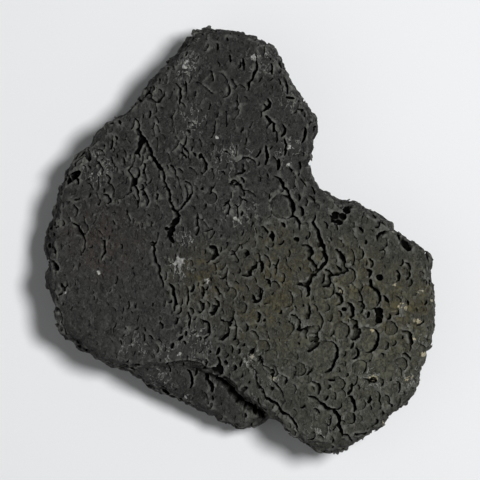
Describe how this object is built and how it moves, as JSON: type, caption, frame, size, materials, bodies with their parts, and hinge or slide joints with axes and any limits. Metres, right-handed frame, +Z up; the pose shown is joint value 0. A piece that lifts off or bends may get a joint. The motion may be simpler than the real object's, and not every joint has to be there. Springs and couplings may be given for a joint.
{
  "type": "lava rock",
  "caption": "Rough dark vesicular lava rock, a flat hand-sized slab with blunt lobes and a lower tongue under one overhanging edge; a display or landscaping stone.",
  "frame": {"origin": "centre of the bounding box's bottom face, on the ground that the rock lies on", "axes": "+Z up from the resting face to the broad upper face, +Y along the length towards the single narrow lobe, +X towards the widest lobe"},
  "size_m": [0.1094, 0.1188, 0.0357],
  "materials": {
    "basalt": "dull, rough and pitted, dark grey with faint olive and brown stains"
  },
  "bodies": {
    "root": {"lava_rock": "basalt"}
  },
  "joints": []
}
